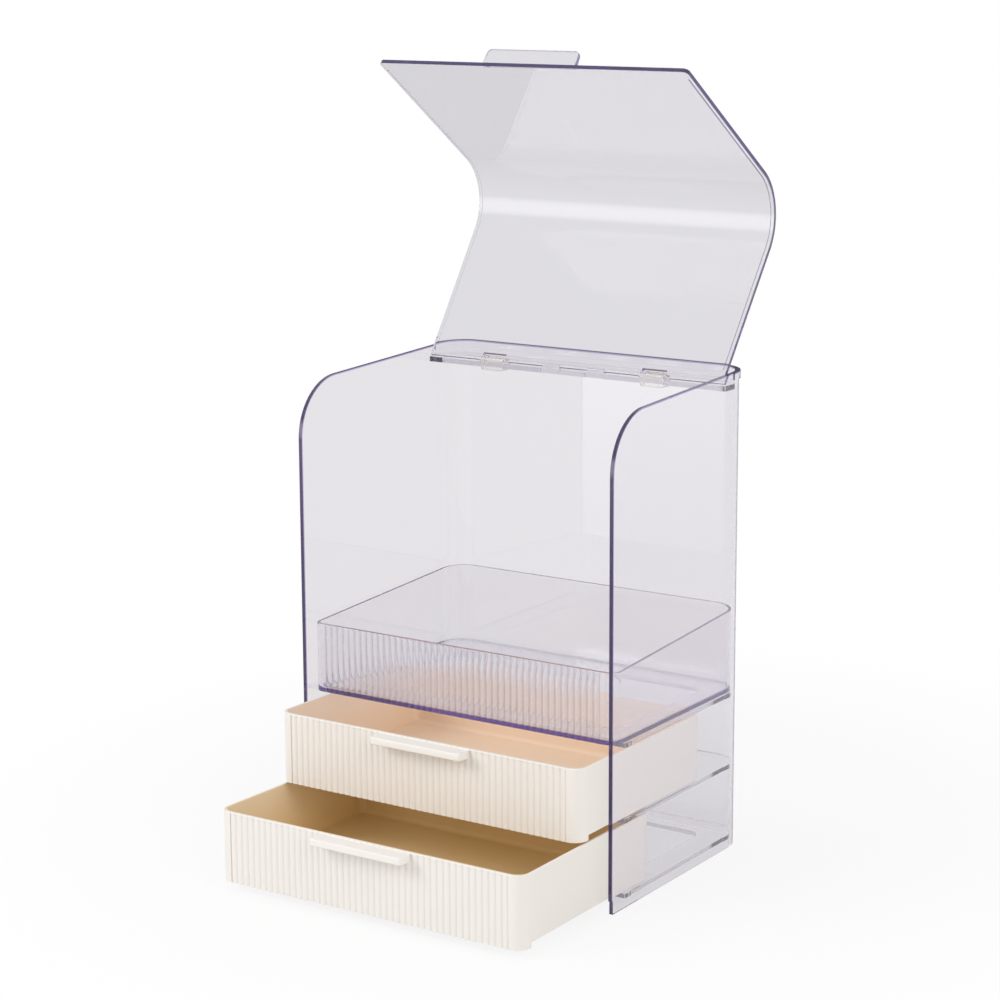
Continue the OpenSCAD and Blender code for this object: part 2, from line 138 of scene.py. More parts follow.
def clearPlastic(name, tint, deep=clear["deep"], density=clear["density"], grooves=None, edgeShaded=False):
    # tinted plastic: pale through a sheet, dark violet along it
    s = clear
    look = Look(bpy.data.materials.new(name))
    place = look.node("TexCoord", out=3)
    cloud = noise(look, place, 9, 2)
    smear = noise(look, place, 70, 3)
    colour = mixColour(look, cloud, (*tint, 1), (*[c * s["fade"] for c in tint], 1))
    if edgeShaded:
        x, y, z = split(look, place)
        # painted shade: darker violet along the casing's front edge, shoulder and rim
        colour = mixColour(look, edgeMask(look, y, z), colour, s["paintedEdgeShade"])
    if grooves:
        x, y, z = split(look, place)
        # painted shade: darker stripes in the grooves between the tray's ribs
        colour = mixColour(look, grooveMask(look, x, y, *grooves) * s["grooveAmount"], colour, s["grooveShade"])
    bump = look.node("Bump", {}, {"Strength": s["ripple"], "Distance": 0.002, "Height": noise(look, place, 14, 1)})
    plastic = look.node("BsdfPrincipled", {}, {
        "Base Color": colour, "Roughness": smear * s["smear"] + s["rough"], "IOR": 1.49,
        "Transmission Weight": 1 - s["haze"], "Normal": bump,
    })
    passing = look.node("BsdfTransparent", {}, {"Color": (1, 1, 1, 1)})   # lets shadow and diffuse rays through
    shade = look.node("LightPath", out=1)
    soft = Value(look, shade.socket.node.outputs["Is Diffuse Ray"])
    surface = look.node("MixShader", {}, {0: shade.atLeast(soft), 1: plastic, 2: passing})
    inside = look.node("VolumeAbsorption", {}, {"Color": (*deep, 1), "Density": density})
    look.node("OutputMaterial", {}, {"Surface": surface, "Volume": inside})
    return look.owner


cream = {
    "base": (0.903, 0.868, 0.82, 1), "warm": (0.894, 0.856, 0.804, 1), "paler": (0.913, 0.882, 0.836, 1),
    "grooveShade": (0.71, 0.67, 0.615, 1), "grooveAmount": 0.34, "shadeHeight": 0.055, "shadeAmount": 0.4,
    "rough": 0.42, "barRough": 0.38,
}


def cavityMask(look, x, y, z, frontAt, bottom):
    # 1 on the faces inside a drawer, where shade is painted
    half = roomAt(faceY, drawer["gap"]) / 1000
    length, radius, heel = drawer["length"] / 1000, drawer["rearRadius"] / 1000, drawer["heel"] / 1000
    side = x.size() + (y - frontAt) * casing["taper"]
    along = (y - (frontAt + length / 2)).size()
    corner = look.node("CombineXYZ", {}, {0: (side - (half - radius)).atLeast(0.0),
                                          1: (along - (length / 2 - radius)).atLeast(0.0)})
    out = look.node("VectorMath", {"operation": "LENGTH"}, {0: corner}, out=1)
    lift = z - bottom - (y - (frontAt + length - heel)).atLeast(0.0) * 0.42
    return (1 - smoothStep(look, out, radius - 0.0017, radius - 0.0013)) * smoothStep(look, lift, 0.0008, 0.0012)


def creamPlastic(name, base, warm, rough, frontAt=None, bottom=0.0, within=None):
    # satin moulded plastic, with painted shade in its grooves and a painted darker, warmer shade inside the drawer
    s = cream
    look = Look(bpy.data.materials.new(name))
    place = look.node("TexCoord", out=3)
    cloud = noise(look, place, 16, 3)
    grain = noise(look, place, 1400, 1)
    wave = noise(look, place, 40, 2)
    colour = mixColour(look, cloud, base, warm)
    if frontAt is not None:
        x, y, z = split(look, place)
        # painted shade inside the drawer, darker and warmer, most towards its floor
        low = 1 - smoothStep(look, z, bottom, bottom + s["shadeHeight"])
        shade = low * s["shadeAmount"] + (1 - s["shadeAmount"])
        colour = mixColour(look, cavityMask(look, x, y, z, frontAt, bottom) * shade, colour, within)
        # painted shade in the grooves between the ribs of the front
        grooves = grooveMask(look, x, y, ribCount(drawer["gap"]), frontAt)
        colour = mixColour(look, grooves * s["grooveAmount"], colour, s["grooveShade"])
    bump = look.node("Bump", {}, {"Strength": 0.03, "Distance": 0.0002, "Height": grain + wave * 3})
    surface = look.node("BsdfPrincipled", {}, {
        "Base Color": colour, "Roughness": grain * 0.08 + wave * 0.06 + (rough - 0.07), "IOR": 1.47,
        "Normal": bump,
    })
    look.node("OutputMaterial", {}, {"Surface": surface})
    return look.owner


# the casing's sizes, which the other pieces follow
casing = {
    "width": 275, "depth": 197, "height": 368, "wall": 3, "cornerRadius": 23, "taper": 0.016,
    "rimSlope": 2.7, "shoulder": 44, "footHeight": 10, "footStep": 1.5,
    "bandHeight": 5, "bandOut": 1.2, "bandRun": 26, "edge": 0.45, "faceSetback": 7.5,
    "pocketDepth": 1.2, "pocketHeight": 3.3, "pocketSlack": 0.1,
    "railPocket": (-35.3, -21.4, 354.5, 358.6),   # front, rear, bottom and top
}
frontY = casing["wall"] / 2 - casing["depth"]
rearY = casing["wall"] / 2
innerY = -casing["wall"] / 2
faceY = frontY + casing["faceSetback"]
innerRadius = casing["cornerRadius"] - casing["wall"]


def halfAt(y):
    return casing["width"] / 2 - casing["taper"] * (y - frontY)


def roomAt(y, gap=0.0):
    return halfAt(y) - casing["wall"] - gap


def flat(points, z=0.0):
    # a bmesh with one face, and its corner vertices
    bm = bmesh.new()
    corners = [bm.verts.new((x, y, z)) for x, y in points]
    bm.faces.new(corners)
    return bm, corners


def roundOff(bm, verts, radius, segments=10):
    if radius > 0.05:
        bmesh.ops.bevel(bm, geom=verts, offset=radius, offset_type="OFFSET", segments=segments,
                        profile=0.5, affect="VERTICES", material=-1)


def raiseFaces(bm, faces, shift):
    # pulls faces out and returns the faces that moved
    edges = list({e for f in faces for e in f.edges})
    made = bmesh.ops.extrude_face_region(bm, geom=list(faces) + edges)["geom"]
    bmesh.ops.translate(bm, vec=shift, verts=[g for g in made if isinstance(g, bmesh.types.BMVert)])
    return [g for g in made if isinstance(g, bmesh.types.BMFace)]


def planBlock(gap, y0, y1, z0, z1, frontRadius=0.0, rearRadius=0.0, segments=10):
    # upright block that follows the casing's taper, a distance inside its walls
    a, b = roomAt(y0, gap), roomAt(y1, gap)
    bm, corners = flat([(-a, y0), (a, y0), (b, y1), (-b, y1)], z0)
    roundOff(bm, corners[:2], frontRadius, segments)
    roundOff(bm, [v for v in corners[2:] if v.is_valid], rearRadius, segments)
    raiseFaces(bm, list(bm.faces), (0, 0, z1 - z0))
    bmesh.ops.recalc_face_normals(bm, faces=bm.faces)
    return bm


def cutAway(bm, point, normal):
    # takes off what lies beyond a plane and closes the cut
    geom = list(bm.verts) + list(bm.edges) + list(bm.faces)
    cut = bmesh.ops.bisect_plane(bm, geom=geom, dist=1e-5, plane_co=point, plane_no=normal, clear_outer=True)
    edges = [g for g in cut["geom_cut"] if isinstance(g, bmesh.types.BMEdge)]
    bmesh.ops.edgeloop_fill(bm, edges=edges)
    bmesh.ops.recalc_face_normals(bm, faces=bm.faces)


def mark(bm, point, normal, faces=None):
    # a cut line with nothing taken off
    faces = list(faces or bm.faces)
    edges = {e for f in faces for e in f.edges}
    verts = {v for f in faces for v in f.verts}
    bmesh.ops.bisect_plane(bm, geom=list(verts) + list(edges) + faces, dist=1e-5, plane_co=point, plane_no=normal)


def sharpEdges(bm, angle=32, where=None):
    found = []
    for edge in bm.edges:
        if len(edge.link_faces) == 2 and degrees(edge.calc_face_angle(0)) > angle:
            if where is None or all(where(v.co) for v in edge.verts):
                found.append(edge)
    return found


def soften(bm, edges, width, segments=3):
    if edges:
        bmesh.ops.bevel(bm, geom=edges, offset=width, offset_type="OFFSET", segments=segments,
                        profile=0.5, affect="EDGES", material=-1, clamp_overlap=True, miter_outer="ARC")


def box(x0, x1, y0, y1, z0, z1):
    bm = bmesh.new()
    bmesh.ops.create_cube(bm, size=1)
    bmesh.ops.scale(bm, vec=(x1 - x0, y1 - y0, z1 - z0), verts=bm.verts)
    bmesh.ops.translate(bm, vec=((x0 + x1) / 2, (y0 + y1) / 2, (z0 + z1) / 2), verts=bm.verts)
    return bm


def rod(radius, x0, x1, y, z, segments=28):
    bm = bmesh.new()
    bmesh.ops.create_cone(bm, cap_ends=True, segments=segments, radius1=radius, radius2=radius, depth=x1 - x0)
    bmesh.ops.rotate(bm, cent=(0, 0, 0), matrix=Matrix.Rotation(pi / 2, 3, "Y"), verts=bm.verts)
    bmesh.ops.translate(bm, vec=((x0 + x1) / 2, y, z), verts=bm.verts)
    return bm


def gather(parts):
    # several loose meshes as one
    bm = bmesh.new()
    for part in parts:
        mesh = bpy.data.meshes.new("part")
        part.to_mesh(mesh)
        part.free()
        bm.from_mesh(mesh)
        bpy.data.meshes.remove(mesh)
    return bm


def combine(bm, operation, parts):
    # boolean of one mesh with others
    objects = []
    for source in (bm, gather(parts)):
        mesh = bpy.data.meshes.new("work")
        source.to_mesh(mesh)
        source.free()
        objects.append(bpy.data.objects.new("work", mesh))
        bpy.context.scene.collection.objects.link(objects[-1])
    step = objects[0].modifiers.new("Boolean", "BOOLEAN")
    step.operation = operation
    step.solver = "EXACT"
    step.object = objects[1]
    graph = bpy.context.evaluated_depsgraph_get()
    result = bmesh.new()
    result.from_object(objects[0], graph)
    for thing in objects:
        mesh = thing.data
        bpy.data.objects.remove(thing)
        bpy.data.meshes.remove(mesh)
    bmesh.ops.remove_doubles(result, verts=result.verts, dist=1e-4)
    bmesh.ops.dissolve_limit(result, angle_limit=radians(0.3), verts=result.verts, edges=result.edges,
                             use_dissolve_boundaries=False)
    return result


def finishPiece(bm, name, body, material, stands=(), smooth=38):
    bmesh.ops.remove_doubles(bm, verts=bm.verts, dist=1e-4)
    bmesh.ops.recalc_face_normals(bm, faces=bm.faces)
    bmesh.ops.scale(bm, vec=(0.001, 0.001, 0.001), verts=bm.verts)
    mesh = bpy.data.meshes.new(name)
    bm.to_mesh(mesh)
    bm.free()
    mesh.polygons.foreach_set("use_smooth", [True] * len(mesh.polygons))
    mesh.set_sharp_from_angle(angle=radians(smooth))
    mesh.materials.append(material)
    piece = bpy.data.objects.new(name, mesh)
    bpy.context.scene.collection.objects.link(piece)
    even = piece.modifiers.new("Weighted Normal", "WEIGHTED_NORMAL")
    even.keep_sharp = True
    even.weight = 80
    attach(piece, body)
    if stands:
        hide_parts(*stands)
    print("made", name, len(mesh.polygons), "faces")
    return piece


def makeCasing(material):
    s = casing
    w, wall = s["width"] / 2, s["wall"]
    bm, corners = flat([
        (-w, frontY), (-halfAt(rearY), rearY), (halfAt(rearY), rearY), (w, frontY),
        (w - wall, frontY), (roomAt(innerY), innerY), (-roomAt(innerY), innerY), (wall - w, frontY),
    ])
    outer, inner = corners[1:3], corners[5:7]
    roundOff(bm, outer, s["cornerRadius"], 16)
    roundOff(bm, inner, innerRadius, 16)
    raiseFaces(bm, list(bm.faces), (0, 0, s["height"] + 10))
    bmesh.ops.recalc_face_normals(bm, faces=bm.faces)
    slope = radians(s["rimSlope"])
    cutAway(bm, (0, rearY, s["height"]), (0, -sin(slope), cos(slope)))
    ends = sharpEdges(bm, 60, lambda p: p.y < frontY + 0.01 and p.z > 300)
    ends = [e for e in ends
            if abs(e.verts[0].co.x - e.verts[1].co.x) > 1 and abs(e.verts[0].co.z - e.verts[1].co.z) < 1]
    offset = s["shoulder"] / tan(radians(90 + s["rimSlope"]) / 2)
    bmesh.ops.bevel(bm, geom=ends, offset=offset, offset_type="OFFSET", segments=28, profile=0.5, affect="EDGES",
                    material=-1)
    steps = [box(side * w - 10, side * w + 10, frontY - 5, frontY + s["footStep"], -5, s["footHeight"])
             for side in (-1, 1)]
    bm = combine(bm, "DIFFERENCE", steps)
    bandZ = s["height"] - s["bandHeight"] - s["bandRun"] * tan(slope)
    bandY = rearY - s["bandRun"]
    mark(bm, (0, 0, bandZ), (0, 0, 1))
    mark(bm, (0, bandY, 0), (0, 1, 0), [f for f in bm.faces if f.calc_center_median().z > bandZ])
    band = []
    for f in bm.faces:
        middle = f.calc_center_median()
        outward = f.normal.x * middle.x + f.normal.y * (middle.y + 40) > 0
        if middle.z > bandZ and middle.y > bandY and abs(f.normal.z) < 0.1 and outward:
            band.append(f)
    bmesh.ops.inset_region(bm, faces=band, thickness=0, depth=s["bandOut"], use_even_offset=True, use_boundary=True)
    bmesh.ops.recalc_face_normals(bm, faces=bm.faces)
    soften(bm, sharpEdges(bm, 40), s["edge"])
    pockets = []

    def pocket(side, y, *span):
        a = roomAt(y) * side
        sunk = a + side * s["pocketDepth"]
        pockets.append(box(min(a - side, sunk), max(a - side, sunk), *span))

    slack = s["pocketSlack"]
    for z in shelfBase:
        for y in tabStarts:
            for side in (-1, 1):
                pocket(side, y, y - slack, y + shelf["tabLength"] + slack, z, z + s["pocketHeight"])
    for side in (-1, 1):
        pocket(side, rail["front"], *s["railPocket"])
    bm = combine(bm, "DIFFERENCE", pockets)
    return finishPiece(bm, "casing", "casing", material, ["casing_shell"])


def sideTab(bm, y0, y1, reach):
    # pulls a stretch of both side faces out into the walls
    for side in (-1, 1):
        for y in (y0, y1):
            mark(bm, (0, y, 0), (0, 1, 0), [f for f in bm.faces if f.normal.x * side > 0.9])
        tab = [f for f in bm.faces if f.normal.x * side > 0.9 and y0 < f.calc_center_median().y < y1]
        raiseFaces(bm, tab, (side * reach, 0, 0))
    bmesh.ops.recalc_face_normals(bm, faces=bm.faces)


shelf = {
    "thickness": 3.2, "setback": 19.6, "fit": 0.15, "sideRail": 20, "rearRail": 27, "frontRail": 22,
    "windowRadius": 9, "tabReach": 1.1, "tabLength": 8, "edge": 0.4,
}
shelfBase = [6.5, 62.7, 118.9]   # height of each shelf's underside
tabStarts = [frontY + shelf["setback"], innerY - innerRadius - shelf["tabLength"]]


def makeShelf(name, z, material):
    s = shelf
    y0, y1 = frontY + s["setback"], innerY - s["fit"]
    bm = planBlock(s["fit"], y0, y1, z, z + s["thickness"], 0.0, innerRadius - s["fit"], 14)
    for y in tabStarts:
        sideTab(bm, y, y + s["tabLength"], s["fit"] + s["tabReach"])
    window = planBlock(s["fit"] + s["sideRail"], y0 + s["frontRail"], innerY - s["rearRail"], z - 1,
                       z + s["thickness"] + 1, s["windowRadius"], s["windowRadius"])
    bm = combine(bm, "DIFFERENCE", [window])
    soften(bm, sharpEdges(bm, 40), s["edge"], 2)
    return finishPiece(bm, name + "_frame", "casing", material, [name])


rail = {
    "front": -35.2, "bottom": 354.54, "top": 358.46, "fit": 0.15, "notch": 6.04, "clipX": 72, "clipWidth": 20.1,
    "padX": 20, "padWidth": 16, "padDepth": 0.6, "tabEnd": -21.5, "tabReach": 1.1, "edge": 0.35,
}


def makeRail(material):
    s = rail
    bm = planBlock(s["fit"], s["front"], innerY - s["fit"], s["bottom"], s["top"], 0, innerRadius - s["fit"], 14)
    sideTab(bm, s["front"] - 1, s["tabEnd"], s["fit"] + s["tabReach"])
    cuts = []
    for side in (-1, 1):
        for at, width, depth in ((s["clipX"], s["clipWidth"], s["notch"]), (s["padX"], s["padWidth"], s["padDepth"])):
            x = side * at
            cuts.append(box(x - width / 2, x + width / 2, s["front"] - 1, s["front"] + depth,
                            s["bottom"] - 1, s["top"] + 1))
    bm = combine(bm, "DIFFERENCE", cuts)
    soften(bm, sharpEdges(bm, 40), s["edge"], 2)
    return finishPiece(bm, "rail", "casing", material, ["hinge_rail"])


lid = {
    "axisY": -33.3, "axisZ": 360.7, "thickness": 3, "bend": 41.7, "open": 124.9, "sideGap": 0.6,
    "frontY": -186.5, "edgeZ": 179.5, "corner": 4, "notchWidth": 21.4, "notchDepth": 4.6,
    "collarWidth": 2.4, "collarRadius": 2, "heelX": 20, "heelWidth": 16,
    "beadIn": 2.5, "beadWidth": 1, "beadHeight": 0.6, "beadEnd": 10, "edge": 0.5, "pinX": 72, "blankHalf": 150,
}


def openLid(bm):
    bmesh.ops.rotate(bm, cent=(0, lid["axisY"], lid["axisZ"]), matrix=Matrix.Rotation(radians(-lid["open"]), 3, "X"),
                     verts=bm.verts)


def makeLid(material):
    s = lid
    half, t = s["blankHalf"], s["thickness"]
    topZ, outY = s["axisZ"] + t / 2, s["frontY"] - t / 2
    centre = (0, s["frontY"] + s["bend"], s["axisZ"] - s["bend"])
    bm = bmesh.new()
    rear = [bm.verts.new((x, s["axisY"] + t / 2, topZ)) for x in (-half, half)]
    line = [bm.edges.new(rear)]

    def draw(edges, vec):
        made = bmesh.ops.extrude_edge_only(bm, edges=edges)["geom"]
        bmesh.ops.translate(bm, vec=vec, verts=[g for g in made if isinstance(g, bmesh.types.BMVert)])
        return [g for g in made if isinstance(g, bmesh.types.BMEdge)]

    ahead = draw(line, (0, centre[1] - s["axisY"] - t / 2, 0))
    ahead = [e for e in ahead if abs(e.verts[0].co.x - e.verts[1].co.x) > 1]
    turned = bmesh.ops.spin(bm, geom=ahead, cent=centre, axis=(1, 0, 0), angle=pi / 2, steps=36)["geom_last"]
    down = [g for g in turned if isinstance(g, bmesh.types.BMEdge)]
    draw(down, (0, 0, s["edgeZ"] - centre[2]))
    bmesh.ops.remove_doubles(bm, verts=bm.verts, dist=1e-3)
    turn = atan(casing["taper"])
    for side in (-1, 1):
        geom = list(bm.verts) + list(bm.edges) + list(bm.faces)
        bmesh.ops.bisect_plane(bm, geom=geom, dist=1e-5, plane_co=(side * roomAt(frontY, s["sideGap"]), frontY, 0),
                               plane_no=(side * cos(turn), sin(turn), 0), clear_outer=True)
    roundOff(bm, [v for v in bm.verts if v.co.z < s["edgeZ"] + 0.01], s["corner"], 8)

    def markLevel(point, normal):
        mark(bm, point, normal, [f for f in bm.faces if f.calc_center_median().z > topZ - 0.01])

    for side in (-1, 1):
        for end in (-1, 1):
            markLevel((side * s["pinX"] + end * s["notchWidth"] / 2, 0, 0), (1, 0, 0))
    markLevel((0, s["axisY"] - s["notchDepth"], 0), (0, 1, 0))
    gone = []
    for f in bm.faces:
        middle = f.calc_center_median()
        if middle.y > s["axisY"] - s["notchDepth"] and abs(abs(middle.x) - s["pinX"]) < s["notchWidth"] / 2:
            gone.append(f)
    bmesh.ops.delete(bm, geom=gone, context="FACES")
    bmesh.ops.recalc_face_normals(bm, faces=bm.faces)
    if sum(f.normal.z * f.calc_area() for f in bm.faces) < 0:
        bmesh.ops.reverse_faces(bm, faces=bm.faces)
    bmesh.ops.solidify(bm, geom=list(bm.faces), thickness=t)
    bmesh.ops.recalc_face_normals(bm, faces=bm.faces)
    # stiffening bead inside along each side
    for side in (-1, 1):
        for inset in (s["beadIn"], s["beadIn"] + s["beadWidth"]):
            mark(bm, (side * roomAt(frontY, s["sideGap"] + inset), frontY, 0), (side * cos(turn), sin(turn), 0))
    mark(bm, (0, s["axisY"] - s["beadEnd"], 0), (0, 1, 0))
    mark(bm, (0, 0, s["edgeZ"] + s["beadEnd"]), (0, 0, 1))
    bead = []
    for f in bm.faces:
        m = f.calc_center_median()
        edgeway = roomAt(m.y, s["sideGap"]) - abs(m.x)
        inward = f.normal.dot(Vector((0, -80, 250)) - m) > 0
        if (s["beadIn"] < edgeway < s["beadIn"] + s["beadWidth"] and m.y < s["axisY"] - s["beadEnd"]
                and m.z > s["edgeZ"] + s["beadEnd"] and inward and abs(f.normal.x) < 0.1):
            bead.append(f)
    bmesh.ops.inset_region(bm, faces=bead, thickness=0.1, depth=s["beadHeight"], use_even_offset=True)
    # rounded rear edge, then the other edges
    rearEdges = sharpEdges(bm, 60, lambda p: p.y > s["axisY"] + t / 2 - 0.05)
    rearEdges = [e for e in rearEdges if abs(e.verts[0].co.z - e.verts[1].co.z) < 0.1]
    soften(bm, rearEdges, t / 2 - 0.02, 5)
    soften(bm, sharpEdges(bm, 60), s["edge"])
    extras = []
    for side in (-1, 1):
        reach, pinX = s["notchWidth"] / 2, side * s["pinX"]
        extras.append(rod(t / 2 - 0.04, pinX - reach - 1, pinX + reach + 1, s["axisY"], s["axisZ"]))
        for end in (-1, 1):
            a = pinX + end * (reach + 0.1)
            b = pinX + end * (reach + s["collarWidth"])
            extras.append(rod(s["collarRadius"], min(a, b), max(a, b), s["axisY"], s["axisZ"]))
        heel, _ = flat([(0, -2.15), (3, -2.15), (2, 0), (0, 0)])
        bmesh.ops.rotate(heel, cent=(0, 0, 0), matrix=Matrix.Rotation(radians(s["open"]), 3, "Z"), verts=heel.verts)
        raiseFaces(heel, list(heel.faces), (0, 0, s["heelWidth"]))
        turnUp = Matrix(((0, 0, 1), (1, 0, 0), (0, 1, 0)))
        bmesh.ops.transform(heel, matrix=turnUp.to_4x4(), space=Matrix.Identity(4), verts=heel.verts)
        bmesh.ops.translate(heel, vec=(side * s["heelX"] - s["heelWidth"] / 2, s["axisY"], s["axisZ"]),
                            verts=heel.verts)
        bmesh.ops.recalc_face_normals(heel, faces=heel.faces)
        extras.append(heel)
    bm = combine(bm, "UNION", extras)
    openLid(bm)
    return finishPiece(bm, "lid", "lid", material, ["lid_panel"])


lidHandle = {"width": 80, "reach": 12, "thickness": 3.5, "corner": 4, "edge": 0.8}


def flange(width, reach, radius, back, z0, z1, segments=8):
    # bar that reaches forward from a face, with round outer corners
    half = width / 2
    bm, corners = flat([(-half, back - reach), (half, back - reach), (half, back), (-half, back)], z0)
    roundOff(bm, corners[:2], radius, segments)
    raiseFaces(bm, list(bm.faces), (0, 0, z1 - z0))
    bmesh.ops.recalc_face_normals(bm, faces=bm.faces)
    return bm


def makeLidHandle(material):
    s = lidHandle
    back = lid["frontY"] - lid["thickness"] / 2 - 0.03
    bm = flange(s["width"], s["reach"] - 0.03, s["corner"], back, lid["edgeZ"], lid["edgeZ"] + s["thickness"])
    soften(bm, sharpEdges(bm, 40, lambda p: p.y < back - 0.01), s["edge"])
    openLid(bm)
    return finishPiece(bm, "lid_handle_flange", "lid", material, ["lid_handle"])


flutes = {"pitch": 5.42, "depth": 0.8, "margin": 11, "rim": 1.2, "share": 0.92, "steps": 8}


def ribCount(gap):
    # ribs on a front that stands this far inside the walls
    return int(2 * (roomAt(faceY, gap) - flutes["margin"]) / flutes["pitch"])


def fluteCutter(half, z0, z1):
    # what is cut off a flat front to leave upright ribs
    s = flutes
    count = int(2 * (half - s["margin"]) / s["pitch"])
    chord = s["share"] * s["pitch"] / 2
    radius = (chord * chord + s["depth"] ** 2) / (2 * s["depth"])
    swing = asin(chord / radius)
    start = -count * s["pitch"] / 2
    sink = 0.02
    bm = bmesh.new()
    first = bm.verts.new((start + s["pitch"] / 2 - chord, faceY + s["depth"] + sink, z0))
    centre = (start + s["pitch"] / 2, faceY + radius + sink, z0)
    bmesh.ops.spin(bm, geom=[first], cent=centre, axis=(0, 0, 1), angle=2 * swing, steps=s["steps"])
    rib = list(bm.verts) + list(bm.edges)
    for i in range(1, count):
        copy = bmesh.ops.duplicate(bm, geom=rib)["geom"]
        moved = [g for g in copy if isinstance(g, bmesh.types.BMVert)]
        bmesh.ops.translate(bm, vec=(i * s["pitch"], 0, 0), verts=moved)
    row = sorted(bm.verts, key=lambda v: v.co.x)
    for x, y in ((-start, faceY + s["depth"] + sink), (-start, faceY - 2), (start, faceY - 2),
                 (start, faceY + s["depth"] + sink)):
        row.append(bm.verts.new((x, y, z0)))
    face = bm.faces.new(row)
    raiseFaces(bm, [face], (0, 0, z1 - z0))
    bmesh.ops.remove_doubles(bm, verts=bm.verts, dist=1e-4)
    bmesh.ops.recalc_face_normals(bm, faces=bm.faces)
    return bm


tray = {
    "gap": 1, "rearGap": 3.5, "bottom": 122.4, "height": 53.1, "rise": 11.5, "wall": 2.2, "front": 2.8,
    "floor": 2.6, "frontRadius": 8, "edge": 0.6, "inner": 1.4,
}


def makeTray(material):
    s = tray
    end = innerY - s["rearGap"]
    top = s["bottom"] + s["height"]
    high = top + s["rise"] + 5
    bm = planBlock(s["gap"], faceY, end, s["bottom"], high, s["frontRadius"], innerRadius - s["gap"], 14)
    lean = atan(s["rise"] / (innerY - faceY - s["front"]))
    cutAway(bm, (0, faceY + s["front"], top), (0, -sin(lean), cos(lean)))
    hollow = planBlock(s["gap"] + s["wall"], faceY + s["front"], end - s["wall"], s["bottom"] + s["floor"], high + 5,
                       s["frontRadius"] - s["wall"], innerRadius - s["gap"] - s["wall"], 14)
    soften(hollow, sharpEdges(hollow, 40, lambda p: p.z < s["bottom"] + s["floor"] + 0.01), s["inner"])
    bm = combine(bm, "DIFFERENCE", [hollow])

    def onRim(p):
        return abs((p.z - top) * cos(lean) - (p.y - faceY - s["front"]) * sin(lean)) < 0.02

    soften(bm, sharpEdges(bm, 40, lambda p: onRim(p) or p.z < s["bottom"] + 0.01), s["edge"])
    bm = combine(bm, "DIFFERENCE", [fluteCutter(roomAt(faceY, s["gap"]), s["bottom"] - 5, top - flutes["rim"])])
    return finishPiece(bm, "tray", "tray", material, ["top_tray"])


drawer = {
    "gap": 1.2, "length": 170, "height": 50, "wall": 2, "front": 2.8, "floor": 2, "frontRadius": 11, "rearRadius": 8,
    "heel": 6, "skirtDrop": 4, "skirtDepth": 12, "edge": 0.6,
}
drawers = {   # height of the floor, how far it stands open, and the painted shade inside
    "upper_drawer": (66.2, 43.5, (0.86, 0.68, 0.50, 1)),
    "lower_drawer": (10.0, 116, (0.86, 0.66, 0.37, 1)),
}


def drawerBody(name):
    return "drawer_upper" if name.startswith("upper") else "drawer_lower"


def heelCuts(bm, end, z, radius, steps=8):
    # rounds the rear bottom edge with flat cuts
    centre = Vector((0, end - radius, z + radius))
    for i in range(steps):
        angle = (i + 0.5) * pi / 2 / steps
        out = Vector((0, cos(angle), -sin(angle)))
        cutAway(bm, centre + out * radius * cos(pi / 4 / steps), out)


def makeDrawer(name, z, pull, material):
    s = drawer
    end = faceY + s["length"]
    bm = planBlock(s["gap"], faceY, end, z, z + s["height"], s["frontRadius"], s["rearRadius"])
    heelCuts(bm, end, z, s["heel"])
    a, b, y1 = roomAt(faceY, s["gap"]), roomAt(faceY + s["skirtDepth"], s["gap"]), faceY + s["skirtDepth"]
    skirt, corners = flat([
        (-a, faceY), (a, faceY), (b, y1), (b - s["wall"], y1), (a - s["wall"], faceY + s["front"]),
        (s["wall"] - a, faceY + s["front"]), (s["wall"] - b, y1), (-b, y1),
    ], z - s["skirtDrop"])
    inner = corners[4:6]
    roundOff(skirt, corners[:2], s["frontRadius"])
    roundOff(skirt, inner, s["frontRadius"] - s["wall"])
    raiseFaces(skirt, list(skirt.faces), (0, 0, s["skirtDrop"] + 1))
    bmesh.ops.recalc_face_normals(skirt, faces=skirt.faces)
    bm = combine(bm, "UNION", [skirt])
    hollow = planBlock(s["gap"] + s["wall"], faceY + s["front"], end - s["wall"], z + s["floor"], z + s["height"] + 5,
                       s["frontRadius"] - s["wall"], s["rearRadius"] - s["wall"])
    heelCuts(hollow, end - s["wall"], z + s["floor"], s["heel"] - s["wall"])
    bm = combine(bm, "DIFFERENCE", [hollow])
    soften(bm, sharpEdges(bm, 40, lambda p: p.z > z + s["height"] - 0.01), s["edge"])
    cutter = fluteCutter(roomAt(faceY, s["gap"]), z - s["skirtDrop"] - 3, z + s["height"] - flutes["rim"])
    bm = combine(bm, "DIFFERENCE", [cutter])
    bmesh.ops.translate(bm, vec=(0, -pull, 0), verts=bm.verts)
    return finishPiece(bm, name + "_body", drawerBody(name), material, [name])


bar = {"width": 79.5, "reach": 12, "height": 5.6, "drop": 1, "corner": 2, "edge": 0.9}


def makeBar(name, z, pull, material):
    s = bar
    top = z + drawer["height"] - s["drop"]
    bm = flange(s["width"], s["reach"], s["corner"], faceY, top - s["height"], top, 5)
    soften(bm, sharpEdges(bm, 40, lambda p: p.y < faceY - 0.01), s["edge"])
    bmesh.ops.translate(bm, vec=(0, -pull, 0), verts=bm.verts)
    return finishPiece(bm, name + "_bar", drawerBody(name), material, [name])


